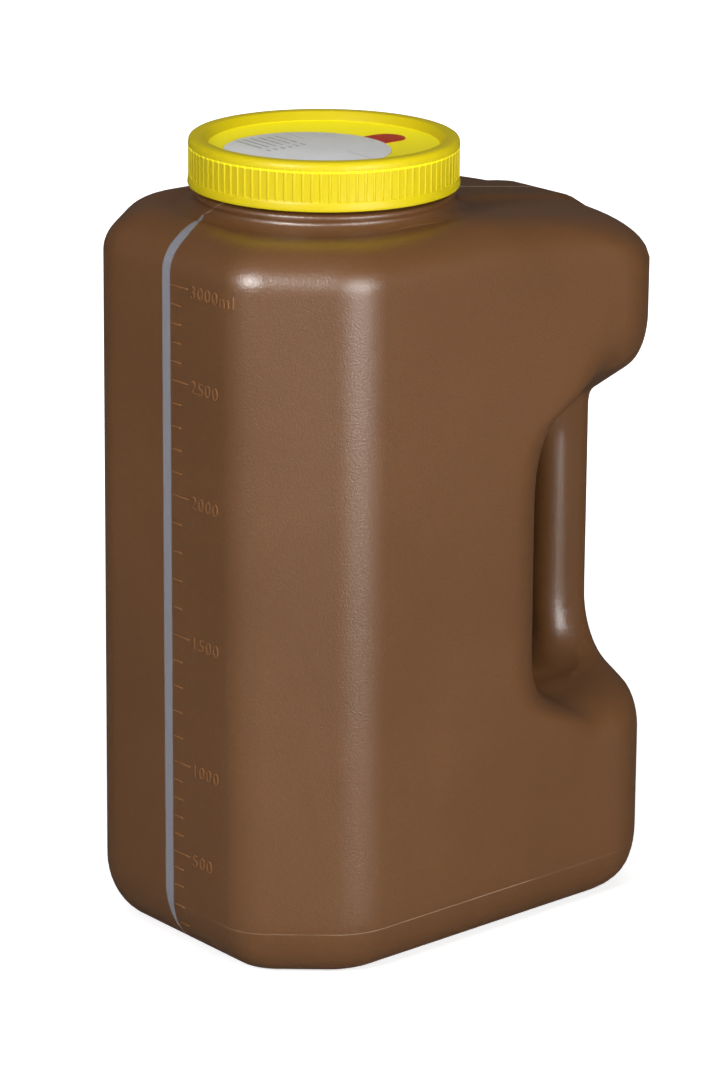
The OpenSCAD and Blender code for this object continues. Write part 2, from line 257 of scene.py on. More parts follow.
def body_rings():
    """All rings of the outer skin, from the middle of the base to the mouth of the neck."""
    rings = [ring(0, 14, BASE_HOLLOW), ring(0, BASE_LAND + 1.5, BASE_HOLLOW * 0.9),
             ring(0, BASE_LAND, BASE_HOLLOW * 0.4), ring(0, BASE_LAND - 1)]
    heights = [BASE_UP * (1 - math.cos(math.pi / 2 * i / 12)) for i in range(13)]
    heights += [28, 36, 44, 50] + [54 + 1.5 * i for i in range(24)] + [90 + 6 * i for i in range(10)]
    heights += [149 + 1.5 * i for i in range(29)] + [194, 198, 203, 208, 212, 216]
    heights += [TOP_Z - TOP_UP + TOP_UP * math.sin(math.pi / 2 * i / 14) for i in range(15)]
    rings += [ring(z) for z in heights]
    flare = [(-r, h) for r, h in FLARE]
    brim = rings[-1]
    middle = Vector((0, NECK_Y, 0))
    aims = [(Vector((q.x, q.y, 0)) - middle) for q in brim]
    feet = [min(FLARE[0][0], aim.length - 0.9) for aim in aims]
    aims = [aim.normalized() for aim in aims]
    for i in range(1, 25):
        row = []
        for q, aim, foot in zip(brim, aims, feet):
            to = middle + aim * foot
            x, y = lerp(q.x, to.x, i / 24), lerp(q.y, to.y, i / 24)
            z = lerp(TOP_Z, lookup(-foot, flare), (i / 24) ** 3) - top_drop(y, TOP_Z)
            row.append(Vector((x, y, max(z, ridge_z(x, y)))))
        rings.append(row)
    for i in range(1, 9):
        row = []
        for aim, foot in zip(aims, feet):
            r = lerp(foot, FLARE[-1][0], 1 - (1 - i / 8) ** 1.5)
            z = lookup(-r, flare)
            at = middle + aim * r
            fall = top_drop(at.y, TOP_Z) * clamp((FLARE[-1][1] - z) / (FLARE[-1][1] - FLARE[0][1]), 0, 1)
            row.append(Vector((at.x, at.y, z - fall)))
        rings.append(row)
    rings += [[middle + aim * r + Vector((0, 0, z)) for aim in aims] for r, z in NECK]
    return rings


def skin(name, rings):
    """A skin of quads through rings of equal count, given in millimetres."""
    mesh = bpy.data.meshes.new(name)
    bm = bmesh.new()
    rows = [[bm.verts.new(q * MM) for q in row] for row in rings]
    for low, high in zip(rows, rows[1:]):
        count = len(low)
        for i in range(count):
            j = (i + 1) % count
            bm.faces.new((low[i], low[j], high[j], high[i]))
    bm.faces.new(list(reversed(rows[0])))
    bm.faces.new(rows[-1])
    bm.normal_update()
    bm.to_mesh(mesh)
    bm.free()
    thing = bpy.data.objects.new(name, mesh)
    bpy.context.collection.objects.link(thing)
    return thing


def window_rings():
    """Window between the body and the grip, its mouths widened by the grip's rounded edges."""
    stations = [(-1, -12, 1.0)]
    ease = [(GRIP_ROUND * (1 - i / 10), 1 - math.sqrt(1 - (i / 10) ** 2)) for i in range(11)]
    stations += [(-1, s, f) for s, f in reversed(ease)] + [(1, s, f) for s, f in ease] + [(1, -12, 1.0)]
    rings = []
    for sign, spread, f in stations:
        y1, z0, z1 = GRIP_Y + GRIP_ROUND * f, 75 - 3 * f, 152 + GRIP_ROUND * f
        path = corner((GAP_Y, z0), (y1, z0), (y1, z1), 10, 8) + between((y1, z0 + 10), (y1, z1 - 10), 10)
        path += corner((y1, z0), (y1, z1), (GAP_Y, z1), 10, 8)
        path += [Vector((lookup(lerp(z1, z0, i / 20), GAP_PROFILE) - 0.25, lerp(z1, z0, i / 20))) for i in range(21)]
        rings.append([Vector((sign * (lookup(q.y, GRIP_PROFILE) + 0.25 - spread), q.x, q.y)) for q in path])
    return rings


# ---------- modelling helpers ----------
def only(*things):
    """Deselects everything and selects the given objects, the first one active."""
    bpy.ops.object.select_all(action="DESELECT")
    for thing in things:
        thing.select_set(True)
    bpy.context.view_layer.objects.active = things[0]


def apply_modifier(thing, kind, **settings):
    """Adds a modifier of one kind with its settings and applies it."""
    only(thing)
    modifier = thing.modifiers.new(kind.title(), kind)
    for key, value in settings.items():
        setattr(modifier, key, value)
    bpy.ops.object.modifier_apply(modifier=modifier.name)


def tidy_normals(thing):
    """Merges doubled points and turns every face outward."""
    only(thing)
    bpy.ops.object.mode_set(mode="EDIT")
    bpy.ops.mesh.select_all(action="SELECT")
    bpy.ops.mesh.remove_doubles(threshold=MERGE)
    bpy.ops.mesh.normals_make_consistent(inside=False)
    bpy.ops.object.mode_set(mode="OBJECT")


def soften(thing, degrees):
    """Shades a piece smooth up to the given angle."""
    only(thing)
    bpy.ops.object.shade_smooth_by_angle(angle=math.radians(degrees))


def lathe(name, profile, centre, steps=192):
    """A closed profile of (radius, height) in millimetres, spun round an upright axis."""
    mesh = bpy.data.meshes.new(name)
    points = [((centre[0] + r) * MM, centre[1] * MM, z * MM) for r, z in profile]
    count = len(points)
    mesh.from_pydata(points, [(i, (i + 1) % count) for i in range(count)], [])
    thing = bpy.data.objects.new(name, mesh)
    bpy.context.collection.objects.link(thing)
    only(thing)
    bpy.ops.object.mode_set(mode="EDIT")
    bpy.ops.mesh.select_all(action="SELECT")
    bpy.ops.mesh.spin(steps=steps, angle=math.tau, center=(centre[0] * MM, centre[1] * MM, 0), axis=(0, 0, 1))
    bpy.ops.object.mode_set(mode="OBJECT")
    tidy_normals(thing)
    return thing


def settle(thing):
    """Puts a finished piece's place into its mesh."""
    only(thing)
    bpy.ops.object.transform_apply(location=True, rotation=True, scale=True)


def finish_piece(thing, body, material, replaced=()):
    """Gives a piece its material and its place in the frame."""
    settle(thing)
    thing.data.materials.clear()
    thing.data.materials.append(material)
    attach(thing, body)
    if replaced:
        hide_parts(*replaced)


# ---------- materials ----------
class Shader:
    """A small helper that adds and joins the nodes of one material."""

    def __init__(self, name):
        self.material = bpy.data.materials.new(name)
        self.material.use_nodes = True
        self.tree = self.material.node_tree
        self.surface = self.tree.nodes["Principled BSDF"]
        self.place = self.node("ShaderNodeTexCoord").outputs["Object"]

    def node(self, kind, **settings):
        made = self.tree.nodes.new(kind)
        for key, value in settings.items():
            setattr(made, key, value)
        return made

    def link(self, source, target):
        self.tree.links.new(source, target)

    def math(self, operation, a, b=None):
        made = self.node("ShaderNodeMath", operation=operation)
        for socket, value in zip(made.inputs, (a, b)):
            if value is None:
                continue
            if isinstance(value, (int, float)):
                socket.default_value = value
            else:
                self.link(value, socket)
        return made.outputs[0]

    def axes(self):
        made = self.node("ShaderNodeSeparateXYZ")
        self.link(self.place, made.inputs[0])
        return made.outputs[0], made.outputs[1], made.outputs[2]

    def noise(self, scale, detail=3.0, stretch=None):
        made = self.node("ShaderNodeTexNoise")
        made.inputs["Scale"].default_value = scale
        made.inputs["Detail"].default_value = detail
        source = self.place
        if stretch:
            mapping = self.node("ShaderNodeMapping")
            mapping.inputs["Scale"].default_value = stretch
            self.link(source, mapping.inputs["Vector"])
            source = mapping.outputs[0]
        self.link(source, made.inputs["Vector"])
        return made.outputs["Fac"]

    def spread(self, source, low, high, to_low=0.0, to_high=1.0):
        made = self.node("ShaderNodeMapRange")
        for socket, value in zip(made.inputs[1:5], (low, high, to_low, to_high)):
            socket.default_value = value
        self.link(source, made.inputs[0])
        return made.outputs[0]

    def mix(self, factor, a, b):
        made = self.node("ShaderNodeMix", data_type="RGBA")
        for socket, value in ((made.inputs[0], factor), (made.inputs[6], a), (made.inputs[7], b)):
            if isinstance(value, bpy.types.NodeSocket):
                self.link(value, socket)
            elif isinstance(value, (int, float)):
                socket.default_value = value
            else:
                socket.default_value = (*value, 1)
        return made.outputs[2]

    def bump(self, height, strength, distance):
        made = self.node("ShaderNodeBump")
        made.inputs["Strength"].default_value = strength
        made.inputs["Distance"].default_value = distance
        self.link(height, made.inputs["Height"])
        self.link(made.outputs[0], self.surface.inputs["Normal"])

    def colour(self, source):
        self.link(source, self.surface.inputs["Base Color"])

    def rough(self, source):
        self.link(source, self.surface.inputs["Roughness"])

    def fixed(self, name, value):
        self.surface.inputs[name].default_value = value


def blown_plastic(look):
    """Brown polyethylene with a fine peel, flow lines, and the clear stripe down the front."""
    s = Shader("blown polyethylene")
    x, y, z = s.axes()
    patches = s.noise(14, 4)
    streaks = s.noise(60, 3, stretch=(1, 1, 0.06))
    fine = s.noise(900, 2)
    dark, pale = (tuple(c * share for c in look.brown) for share in (0.93, 1.06))
    tone = s.mix(s.spread(patches, 0.35, 0.65), dark, pale)
    tone = s.mix(s.spread(streaks, 0.3, 0.7, 0.0, 0.12), tone, tuple(c * 0.8 for c in look.brown))
    tone = s.mix(s.spread(s.noise(1300, 1), 0.35, 0.65, 0.0, 0.3), tone, tuple(c * 0.72 for c in look.brown))
    # the stripe is centred on the front face, runs out at the base and bends to a point on the shoulder
    on_top = s.math("MAXIMUM", s.math("ADD", y, 0.074), 0)
    bend = s.math("ADD", s.math("MULTIPLY", s.math("POWER", on_top, 1.6), 6.14), 0.00025)
    across = s.math("ABSOLUTE", s.math("ADD", x, bend))
    taper_top = s.spread(y, -0.0715, -0.0553, 1, 0)
    taper_low = s.spread(z, 0.004, 0.02, 0, 1)
    wobble = s.math("MULTIPLY", s.math("SUBTRACT", s.noise(35, 2, stretch=(0, 0, 1)), 0.5), 0.0006)
    half = s.math("MULTIPLY", s.math("MULTIPLY", taper_top, taper_low), 0.00195)
    inside = s.math("SUBTRACT", s.math("ADD", half, s.math("MULTIPLY", wobble, taper_top)), across)
    stripe = s.spread(inside, -0.00025, 0.0003)
    stripe = s.math("MULTIPLY", stripe, s.math("LESS_THAN", y, -0.0557))
    stripe = s.math("MULTIPLY", stripe, s.math("LESS_THAN", z, 0.2312))
    tone = s.mix(stripe, tone, look.stripe)
    # the mould's parting line: a thin pale thread from the stripe to the neck, and along the ridge and the grip
    beside = s.math("SUBTRACT", y, NECK_Y * MM)
    from_neck = s.math("SQRT", s.math("ADD", s.math("MULTIPLY", x, x), s.math("MULTIPLY", beside, beside)))
    jitter = s.math("MULTIPLY", s.math("SUBTRACT", s.noise(260, 3, stretch=(0, 1, 1)), 0.5), 0.0022)
    climb = s.math("SUBTRACT", s.math("MULTIPLY", s.math("SUBTRACT", z, 0.2303), 1.7), 0.0098)
    fore = s.math("LESS_THAN", s.math("ABSOLUTE", s.math("ADD", s.math("SUBTRACT", x, climb), jitter)), 0.00017)
    on_neck = s.math("MULTIPLY", s.math("GREATER_THAN", z, 0.2302), s.math("LESS_THAN", y, -0.045))
    fore = s.math("MULTIPLY", fore, on_neck)
    fore = s.math("MULTIPLY", fore, s.math("LESS_THAN", from_neck, 0.0412))
    foot = s.math("LESS_THAN", s.math("ABSOLUTE", s.math("ADD", x, s.math("MULTIPLY", jitter, 0.5))), 0.00022)
    foot = s.math("MULTIPLY", foot, s.math("MULTIPLY", s.math("LESS_THAN", y, -0.04), s.math("LESS_THAN", z, 0.012)))
    aft_half = s.spread(z, 0.215, 0.221, 0.00028, 0.0007)
    aft = s.math("LESS_THAN", s.math("ABSOLUTE", s.math("ADD", x, s.math("MULTIPLY", jitter, 0.15))), aft_half)
    aft = s.math("MULTIPLY", aft, s.math("GREATER_THAN", y, 0.021))
    seam = s.math("MAXIMUM", s.math("MAXIMUM", fore, foot), s.math("MULTIPLY", aft, 0.7))
    seam = s.math("MULTIPLY", seam, s.spread(s.noise(500, 2), 0.35, 0.6, 0.35, 1.0))
    tone = s.mix(seam, tone, look.seam)
    # faint witness line of the mould's base insert
    witness = s.math("LESS_THAN", s.math("ABSOLUTE", s.math("SUBTRACT", z, 0.0168)), 0.00016)
    witness = s.math("MULTIPLY", witness, s.spread(s.noise(30, 3), 0.45, 0.62, 0.03, 0.4))
    witness = s.math("MULTIPLY", witness, s.spread(x, 0.015, 0.05, 0.2, 1.0))
    s.colour(s.mix(witness, tone, look.seam))
    uneven = s.math("ADD", s.math("MULTIPLY", fine, 0.5), s.math("MULTIPLY", patches, 0.5))
    s.rough(s.spread(uneven, 0.3, 0.7, 0.31, 0.38))
    peel = s.math("ADD", s.math("MULTIPLY", s.noise(1400, 3), 0.5), s.math("MULTIPLY", s.noise(3200, 2), 0.5))
    s.bump(peel, 0.5, 0.0003)
    s.fixed("Specular IOR Level", 0.95)
    s.fixed("IOR", 1.5)
    return s.material


def moulded_plastic(name, colour, rough=0.4, peel=0.12, painted_floor_light=None):
    """Smooth injection moulding with slight cloudiness and a fine matt grain."""
    s = Shader(name)
    cloud = s.noise(40, 3)
    tone = s.mix(s.spread(cloud, 0.3, 0.7), tuple(c * 0.96 for c in colour), tuple(min(c * 1.03, 1) for c in colour))
    if painted_floor_light:
        # painted light: the lid's floor is painted a paler yellow than the rest, standing in for the light that falls
        # on it and shines through the thin floor
        flat = s.math("LESS_THAN", s.math("ABSOLUTE", s.math("SUBTRACT", s.axes()[2], RECESS_Z * MM)), 0.0003)
        tone = s.mix(flat, tone, painted_floor_light)
    s.colour(tone)
    s.rough(s.spread(s.noise(700, 2), 0.3, 0.7, rough - 0.04, rough + 0.05))
    s.bump(s.noise(900, 3), peel, 0.0003)
    s.fixed("Specular IOR Level", 0.28)
    return s.material


def printed_film(look):
    """Grey-white film with generic rules in place of its print."""
    s = Shader("printed film")
    x, y, _z = s.axes()
    paper = s.mix(s.spread(s.noise(90, 3), 0.3, 0.7), (0.68, 0.68, 0.68), (0.74, 0.74, 0.74))
    tilted = s.math("ADD", y, s.math("MULTIPLY", x, 0.07))
    rows = s.math("ABSOLUTE", s.math("SUBTRACT", s.math("FRACT", s.math("MULTIPLY", tilted, 1 / 0.0028)), 0.5))
    dashes = s.spread(s.noise(900, 2, stretch=(1, 0.05, 1)), 0.42, 0.5)
    block = s.math("MULTIPLY", s.math("LESS_THAN", rows, 0.15), dashes)
    for source, low, high in ((x, -0.0195, -0.0015), (tilted, -0.0395, -0.0225)):
        inside = s.math("MULTIPLY", s.math("GREATER_THAN", source, low), s.math("LESS_THAN", source, high))
        block = s.math("MULTIPLY", block, inside)
    rule = s.math("LESS_THAN", s.math("ABSOLUTE", s.math("ADD", tilted, 0.0187)), 0.00016)
    rule = s.math("MULTIPLY", rule, s.math("GREATER_THAN", s.math("ABSOLUTE", s.math("SUBTRACT", x, 0.002)), 0.0115))
    s.colour(s.mix(s.math("MAXIMUM", s.math("MULTIPLY", block, 0.6), s.math("MULTIPLY", rule, 0.5)), paper, look.ink))
    s.rough(s.spread(s.noise(500, 2), 0.3, 0.7, 0.38, 0.5))
    s.bump(s.noise(160, 2), 0.08, 0.0003)
    return s.material


def drawn_steel():
    """Fine-drawn steel with lines along its length."""
    s = Shader("drawn steel")
    lines = s.noise(2500, 2, stretch=(1, 1, 0.02))
    s.colour(s.mix(lines, (0.55, 0.56, 0.58), (0.74, 0.75, 0.77)))
    s.rough(s.spread(lines, 0.3, 0.7, 0.18, 0.34))
    s.fixed("Metallic", 1.0)
    return s.material


def soft_rubber(name, colour):
    """Dull rubber or foam with an uneven tone."""
    s = Shader(name)
    s.colour(s.mix(s.noise(300, 4), tuple(c * 0.88 for c in colour), colour))
    s.rough(s.spread(s.noise(800, 3), 0.3, 0.7, 0.6, 0.78))
    s.bump(s.noise(1500, 3), 0.25, 0.0002)
    return s.material


def studio_floor():
    """Pale floor, white to the camera and nearly dark to reflections, with the object's shadow kept."""
    s = Shader("studio floor")
    s.fixed("Roughness", 0.9)
    s.fixed("Specular IOR Level", 0.0)
    length = s.node("ShaderNodeVectorMath", operation="LENGTH")
    s.link(s.place, length.inputs[0])
    path = s.node("ShaderNodeLightPath")
    seen = s.math("MAXIMUM", s.math("MAXIMUM", path.outputs["Is Camera Ray"], path.outputs["Is Glossy Ray"]),
                  path.outputs["Is Transmission Ray"])
    glow = s.node("ShaderNodeEmission")
    glow.inputs["Color"].default_value = (1, 1, 1, 1)
    away = s.spread(length.outputs["Value"], 0.12, 0.5, 0.66, 1.0)
    glossy = s.math("MULTIPLY", path.outputs["Is Glossy Ray"], 0.97)
    s.colour(s.mix(path.outputs["Is Glossy Ray"], (0.8, 0.8, 0.8), (0.06, 0.055, 0.05)))
    s.link(s.math("MULTIPLY", s.math("SUBTRACT", seen, glossy), away), glow.inputs["Strength"])
    both = s.node("ShaderNodeAddShader")
    s.link(s.surface.outputs[0], both.inputs[0])
    s.link(glow.outputs[0], both.inputs[1])
    s.link(both.outputs[0], s.tree.nodes["Material Output"].inputs["Surface"])
    return s.material


# ---------- settings ----------
class BottleLook(bpy.types.PropertyGroup):
    brown: bpy.props.FloatVectorProperty(name="Brown", description="Colour of the blown plastic", subtype="COLOR",
                                         default=(0.132, 0.054, 0.016), min=0, max=1)
    # painted highlight: the marks' brown is lighter than the body's, standing in for the light caught by their raised
    # edges
    marks: bpy.props.FloatVectorProperty(name="Marks", description="Colour of the raised marks", subtype="COLOR",
                                         default=(0.20, 0.088, 0.032), min=0, max=1)
    stripe: bpy.props.FloatVectorProperty(name="Stripe", description="Colour of the sight stripe", subtype="COLOR",
                                          default=(0.215, 0.212, 0.24), min=0, max=1)
    seam: bpy.props.FloatVectorProperty(name="Seam", description="Colour of the mould's parting line", subtype="COLOR",
                                        default=(0.52, 0.38, 0.26), min=0, max=1)
    yellow: bpy.props.FloatVectorProperty(name="Cap", description="Colour of the cap", subtype="COLOR",
                                          default=(0.60, 0.48, 0.004), min=0, max=1)
    # painted light: the lid floor's paler yellow stands in for the light that falls on it and shines through the thin
    # floor
    lid_floor: bpy.props.FloatVectorProperty(name="Lid floor", description="Colour of the lid's floor",
                                             subtype="COLOR", default=(1.0, 0.86, 0.008), min=0, max=1)
    ink: bpy.props.FloatVectorProperty(name="Ink", description="Colour of the label's rules", subtype="COLOR",
                                       default=(0.08, 0.08, 0.08), min=0, max=1)
    tab: bpy.props.FloatVectorProperty(name="Tab", description="Colour of the pull tab", subtype="COLOR",
                                       default=(0.42, 0.03, 0.022), min=0, max=1)


class BottleSizes(bpy.types.PropertyGroup):
    wall: bpy.props.FloatProperty(name="Wall", description="Thickness of the blown wall", default=1.5 * MM,
                                  unit="LENGTH", min=0.0005, max=0.003)
    ribs: bpy.props.IntProperty(name="Ribs", description="Grip ribs round the cap", default=96, min=24, max=180)
    relief: bpy.props.FloatProperty(name="Relief", description="Height of the marks on the front face",
                                    default=PROUD * MM, unit="LENGTH", min=0, max=0.001)
    numeral: bpy.props.FloatProperty(name="Numeral", description="Height of the numerals", default=5.9 * MM,
                                     unit="LENGTH", min=0.002, max=0.01)


class BottleStudio(bpy.types.PropertyGroup):
    key_power: bpy.props.FloatProperty(name="Key", description="Power of the side softbox", default=22.0,
                                       unit="POWER", min=0)
    front_power: bpy.props.FloatProperty(name="Front", description="Power of the front light", default=12.2,
                                         unit="POWER", min=0)
    top_power: bpy.props.FloatProperty(name="Top", description="Power of the light above", default=9.0,
                                       unit="POWER", min=0)
    gloss_power: bpy.props.FloatProperty(name="Gloss", description="Power of the light seen only as a reflection",
                                         default=11.0, unit="POWER", min=0)
    fill_power: bpy.props.FloatProperty(name="Fill", description="Power of the fill behind", default=4.0,
                                        unit="POWER", min=0)
    ambient: bpy.props.FloatProperty(name="Ambient", description="Strength of the surrounding light", default=0.07,
                                     min=0, max=2)


# ---------- operators ----------
class BODY_OT_blow(bpy.types.Operator):
    """Blow the bottle: body, grip, ridge and neck round one hollow"""
    bl_idname = "bottle.blow_body"
    bl_label = "Blow body"

    def execute(self, context):
        scene = context.scene
        body = skin("bottle_body", body_rings())
        window = skin("finger_window", window_rings())
        for thing in (body, window):
            tidy_normals(thing)
        apply_modifier(body, "BOOLEAN", object=window, operation="DIFFERENCE", solver="EXACT")
        bpy.data.objects.remove(window, do_unlink=True)
        only(body)
        bpy.ops.object.mode_set(mode="EDIT")
        mesh = bmesh.from_edit_mesh(body.data)
        lids = [f for f in mesh.faces if f.calc_center_median().z > (NECK_TOP - 0.05) * MM and f.normal.z > 0.9]
        bmesh.ops.delete(mesh, geom=lids, context="FACES_ONLY")
        bmesh.update_edit_mesh(body.data)
        bpy.ops.object.mode_set(mode="OBJECT")
        apply_modifier(body, "SOLIDIFY", thickness=scene.bottle_sizes.wall, offset=-1, use_even_offset=False)
        soften(body, 52)
        finish_piece(body, "bottle", blown_plastic(scene.bottle_look), ("bottle",))
        return {"FINISHED"}


class BODY_OT_graduate(bpy.types.Operator):
    """Raise the scale's marks and numerals on the front face"""
    bl_idname = "bottle.graduate"
    bl_label = "Raise the scale"

    def execute(self, context):
        scene = context.scene
        relief = scene.bottle_sizes.relief
        face_y = (PROUD - HALF_L) * MM
        levels = sorted(MARKS.items())
        bars = []
        for (v0, z0), (v1, z1) in zip(levels, levels[1:]):
            for volume in range(v0, v1, 100):
                bars.append((volume, lerp(z0, z1, (volume - v0) / (v1 - v0))))
        bars.append(levels[-1])
        parts = []
        for volume, z in bars:
            major = volume % 500 == 0
            left, right = 2.2, 10.3 if major else 6.8
            bpy.ops.object.select_all(action="DESELECT")
            bpy.ops.mesh.primitive_cube_add(size=1, location=((left + right) / 2 * MM, face_y, z * MM))
            bar = context.object
            bar.scale = ((right - left) * MM, 2 * relief, 0.55 * MM)
            settle(bar)
            apply_modifier(bar, "BEVEL", width=0.2 * MM, segments=2)
            parts.append(bar)
            if major:
                words = "%dml" % volume if volume == 3000 else str(volume)
                parts.append(self.numeral(context, words, z, face_y, relief))
        only(parts[0], *parts[1:])
        bpy.ops.object.join()
        marks = context.object
        marks.name = "scale_marks"
        self.conform(marks, face_y)
        soften(marks, 40)
        # the marks' lighter brown is a painted highlight on their raised edges
        finish_piece(marks, "bottle", moulded_plastic("brown with painted highlight", scene.bottle_look.marks, 0.42))
        return {"FINISHED"}

    def conform(self, marks, face_y):
        """Bends the flat marks back on to the rounded ends of the front face."""
        outlines = {}
        for vert in marks.data.vertices:
            height = round(vert.co.z / MM * 4) / 4
            if height not in outlines:
                outlines[height] = [(q.x, q.y) for q in half_outline(height)[:FRONT_POINTS]]
            vert.co.y += lookup(vert.co.x / MM, outlines[height]) * MM - face_y

    def numeral(self, context, words, z, face_y, relief):
        """One raised numeral beside its mark."""
        bpy.ops.object.select_all(action="DESELECT")
        bpy.ops.object.text_add(location=(11.4 * MM, face_y, (z - 0.6) * MM), rotation=(math.pi / 2, 0, 0))
        text = context.object
        text.data.body = words
        text.data.size = context.scene.bottle_sizes.numeral
        text.data.align_y = "CENTER"
        text.data.space_character = 1.16
        text.data.offset = -0.15 * MM
        text.data.extrude = relief * 0.8
        text.data.bevel_depth = 0.06 * MM
        text.data.resolution_u = 3
        bpy.ops.object.convert(target="MESH")
        settle(text)
        return text


class CAP_OT_mould(bpy.types.Operator):
    """Mould the cap: lid, ribbed skirt and sampling well"""
    bl_idname = "bottle.mould_cap"
    bl_label = "Mould cap"

    def execute(self, context):
        scene = context.scene
        centre = (0, NECK_Y)
        outer = [(RECESS_R - 0.6, RECESS_Z), (RECESS_R, RECESS_Z + 0.25), (RECESS_R + 1.35, CAP_TOP - 0.6),
                 (RECESS_R + 1.7, CAP_TOP - 0.2), (RECESS_R + 2.3, CAP_TOP), (CAP_R - 2.2, CAP_TOP),
                 (CAP_R - 1.3, CAP_TOP - 0.12), (CAP_R - 0.7, CAP_TOP - 0.5), (CAP_R - 0.35, CAP_TOP - 1.1),
                 (CAP_R - 0.22, CAP_TOP - 1.9), (CAP_R - 0.3, CAP_TOP - BAND_HIGH),
                 (CAP_R - 0.48, CAP_TOP - BAND_HIGH - 0.5), (CAP_R - 0.48, CAP_Z + BAND_LOW + 0.3),
                 (CAP_R - 0.22, CAP_Z + BAND_LOW - 0.1), (CAP_R - 0.12, CAP_Z + BAND_LOW - 0.6),
                 (CAP_R, CAP_Z + 0.9), (CAP_R, CAP_Z + 0.5),
                 (CAP_R - 0.15, CAP_Z + 0.15), (CAP_R - 0.5, CAP_Z), (SKIRT_IN_R, CAP_Z),
                 (SKIRT_IN_R, LID_UNDER_Z)]
        lid = lathe("cap_lid", outer + [(0.02, LID_UNDER_Z), (0.02, RECESS_Z)], centre)
        well_cut = lathe("well_cut", [(0.01, RECESS_Z + 2), (WELL_R, RECESS_Z + 2), (WELL_R, LID_UNDER_Z - 2),
                                      (0.01, LID_UNDER_Z - 2)], (WELL_X, WELL_Y), 64)
        apply_modifier(lid, "BOOLEAN", object=well_cut, operation="DIFFERENCE", solver="EXACT")
        bpy.data.objects.remove(well_cut, do_unlink=True)
        rim_z, under_z, outside = RECESS_Z - 0.6, WELL_FLOOR_Z - WELL_WALL, WELL_R + WELL_WALL
        tube = lathe("well_tube", [(WELL_R, rim_z), (WELL_R, WELL_FLOOR_Z + 0.8), (WELL_R - 0.8, WELL_FLOOR_Z),
                                   (2.6, WELL_FLOOR_Z), (2.4, HUB_Z), (NEEDLE_BORE_R, HUB_Z),
                                   (NEEDLE_BORE_R, SPIGOT_Z), (1.8, SPIGOT_Z), (3.4, under_z),
                                   (outside - 0.8, under_z), (outside, under_z + 0.8),
                                   (outside, LID_UNDER_Z + 0.4), (outside, rim_z)], (WELL_X, WELL_Y), 64)
        ribs = self.ribs(context, scene.bottle_sizes.ribs)
        only(lid, tube, ribs)
        bpy.ops.object.join()
        lid.name = "cap_moulding"
        soften(lid, 30)
        look = scene.bottle_look
        # the lid floor's paler yellow is painted light
        yellow = moulded_plastic("yellow moulding", look.yellow, painted_floor_light=look.lid_floor)
        finish_piece(lid, "cap", yellow, ("cap",))
        return {"FINISHED"}

    def ribs(self, context, count):
        """The grip ribs round the skirt, as one mesh."""
        low, high = CAP_Z + BAND_LOW - 0.5, CAP_TOP - BAND_HIGH + 0.9
        bpy.ops.object.select_all(action="DESELECT")
        bpy.ops.mesh.primitive_cube_add(size=1, location=(0, 0, 0))
        rib = context.object
        rib.scale = (0.9 * MM, 0.85 * MM, (high - low) * MM)
        rib.location = ((CAP_R - 0.675) * MM, 0, (low + high) / 2 * MM)
        settle(rib)
        apply_modifier(rib, "BEVEL", width=0.3 * MM, segments=4)
        copies = [rib]
        for i in range(1, count):
            copy = rib.copy()
            copy.data = rib.data.copy()
            context.collection.objects.link(copy)
            copies.append(copy)
        for i, copy in enumerate(copies):
            turn = Matrix.Rotation(math.tau * i / count, 4, "Z")
            copy.data.transform(Matrix.Translation((0, NECK_Y * MM, 0)) @ turn)
        only(*copies)
        bpy.ops.object.join()
        return context.object


class LABEL_OT_print(bpy.types.Operator):
    """Lay the film label over the well and its pull tab"""
    bl_idname = "bottle.lay_label"
    bl_label = "Lay label"

    def execute(self, context):
        scene = context.scene
        z0 = RECESS_Z
        label = lathe("film_label", [(0.01, z0 + 0.02), (LABEL_R - 0.08, z0 + 0.02), (LABEL_R, z0 + 0.08),
                                     (LABEL_R - 0.05, z0 + 0.2), (LABEL_R - 0.2, z0 + 0.25), (0.01, z0 + 0.25)],
                      (WELL_X, WELL_Y), 160)
        soften(label, 30)
        finish_piece(label, "cap", printed_film(scene.bottle_look), ("label",))
        low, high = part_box("pull_tab")
        half = (high[0] - low[0]) / 2 + TAB_WIDER * MM
        middle = (high[0] + low[0]) / 2 + TAB_ASIDE * MM
        centre_y = high[1] + TAB_FURTHER * MM - half
        bpy.ops.object.select_all(action="DESELECT")
        bpy.ops.mesh.primitive_circle_add(vertices=48, radius=half, fill_type="NGON",
                                          location=(middle, centre_y, low[2]))
        tab = context.object
        settle(tab)
        bpy.ops.object.mode_set(mode="EDIT")
        mesh = bmesh.from_edit_mesh(tab.data)
        for vert in mesh.verts:
            if vert.co.y < centre_y - MERGE:
                vert.co.y = low[1] - TAB_TUCK * MM
                vert.co.x = middle + math.copysign(half, vert.co.x - middle)
        bmesh.ops.remove_doubles(mesh, verts=mesh.verts, dist=MERGE)
        bmesh.update_edit_mesh(tab.data)
        bpy.ops.mesh.select_all(action="SELECT")
        bpy.ops.mesh.extrude_region_move(TRANSFORM_OT_translate={"value": (0, 0, high[2] - low[2])})
        bpy.ops.mesh.select_all(action="SELECT")
        bpy.ops.mesh.normals_make_consistent(inside=False)
        bpy.ops.object.mode_set(mode="OBJECT")
        tab.name = "film_tab"
        soften(tab, 30)
        film = moulded_plastic("red film", scene.bottle_look.tab, 0.45, 0.06)
        finish_piece(tab, "cap", film, ("pull_tab",))
        return {"FINISHED"}


class NEEDLE_OT_finish(bpy.types.Operator):
    """Give the needle, its sleeve and the liner their finishes"""
    bl_idname = "bottle.finish_needle"
    bl_label = "Finish needle and liner"

    def execute(self, context):
        finishes = {"cannula": drawn_steel(),
                    "needle_sleeve": soft_rubber("sleeve rubber", (0.66, 0.62, 0.52)),
                    "seal_ring": soft_rubber("foam liner", (0.78, 0.78, 0.74))}
        for name, material in finishes.items():
            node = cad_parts[name]
            for slot in node.material_slots:
                slot.material = material
        return {"FINISHED"}


